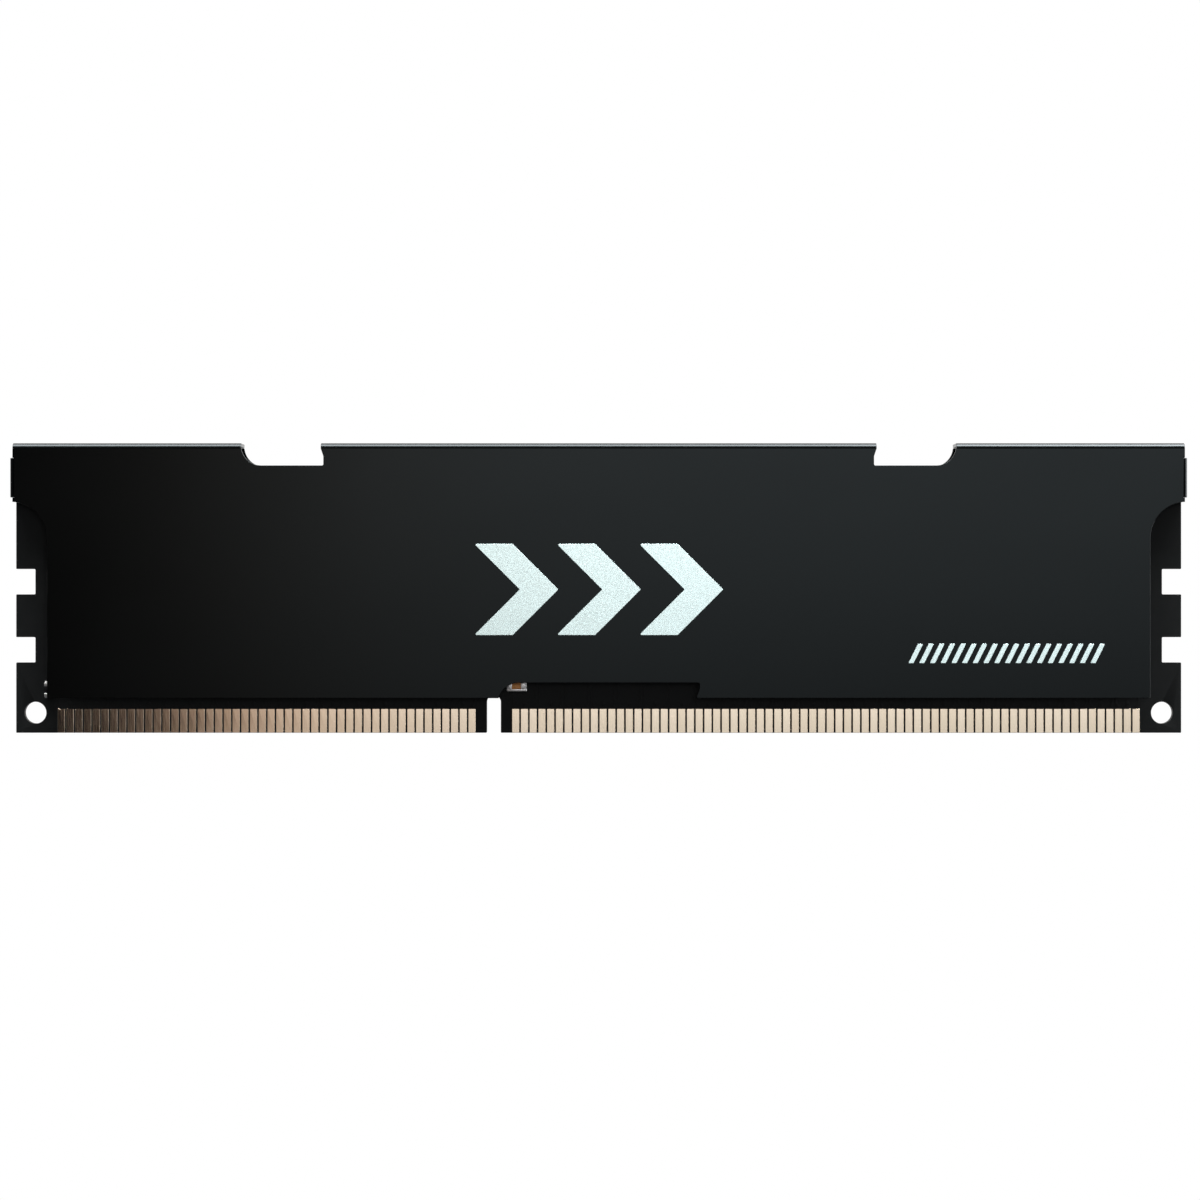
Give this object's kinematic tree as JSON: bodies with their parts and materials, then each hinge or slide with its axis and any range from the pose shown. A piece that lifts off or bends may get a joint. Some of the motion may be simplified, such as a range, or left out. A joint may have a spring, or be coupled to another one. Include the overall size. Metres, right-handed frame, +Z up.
{
  "type": "ram module",
  "caption": "Desktop memory module: a keyed circuit board with gold edge contacts and memory packages, clasped between two folded black aluminium heat spreader shells.",
  "frame": {"origin": "middle of the card edge at its lowest line, midway between the board's two faces", "axes": "+X along the board towards the long contact row, +Y out of the back face, +Z up from the card edge to the folded top; the front face looks along -Y"},
  "size_m": [0.1342, 0.005, 0.0331],
  "materials": {
    "solder_mask": "satin black solder mask over glass-epoxy laminate",
    "gold_plating": "thin polished gold plating over nickel",
    "package_moulding": "matt black moulded epoxy",
    "solder": "bright reflowed tin solder",
    "capacitor_ceramic": "brown ceramic body with tinned ends",
    "resistor_ceramic": "black glazed body with tinned ends",
    "thermal_pad": "soft grey-blue filled silicone",
    "black_anodised": "satin black anodised sheet with bright folded edges",
    "silver_print": "fine sparkling silver print",
    "label_paper": "satin white coated label"
  },
  "bodies": {
    "root": {"circuit_board": "solder_mask", "contacts_front_short_row": "gold_plating", "contacts_front_long_row": "gold_plating", "contacts_back_short_row": "gold_plating", "contacts_back_long_row": "gold_plating", "dram_front_1": "package_moulding", "dram_front_2": "package_moulding", "dram_front_3": "package_moulding", "dram_front_4": "package_moulding", "dram_front_5": "package_moulding", "dram_front_6": "package_moulding", "dram_front_7": "package_moulding", "dram_front_8": "package_moulding", "dram_back_1": "package_moulding", "dram_back_2": "package_moulding", "dram_back_3": "package_moulding", "dram_back_4": "package_moulding", "dram_back_5": "package_moulding", "dram_back_6": "package_moulding", "dram_back_7": "package_moulding", "dram_back_8": "package_moulding", "solder_balls_front": "solder", "solder_balls_back": "solder", "chip_capacitors_front": "capacitor_ceramic", "chip_capacitors_back": "capacitor_ceramic", "resistor_arrays_front": "resistor_ceramic", "resistor_arrays_back": "resistor_ceramic", "termination_arrays": "resistor_ceramic", "bulk_capacitors": "capacitor_ceramic", "end_resistor": "resistor_ceramic", "serial_eeprom": "package_moulding", "thermal_pad_front": "thermal_pad", "thermal_pad_back": "thermal_pad", "heat_spreader_front": "black_anodised", "heat_spreader_back": "black_anodised", "front_emblem": "silver_print", "front_hatching": "silver_print", "back_label": "label_paper"}
  },
  "joints": []
}
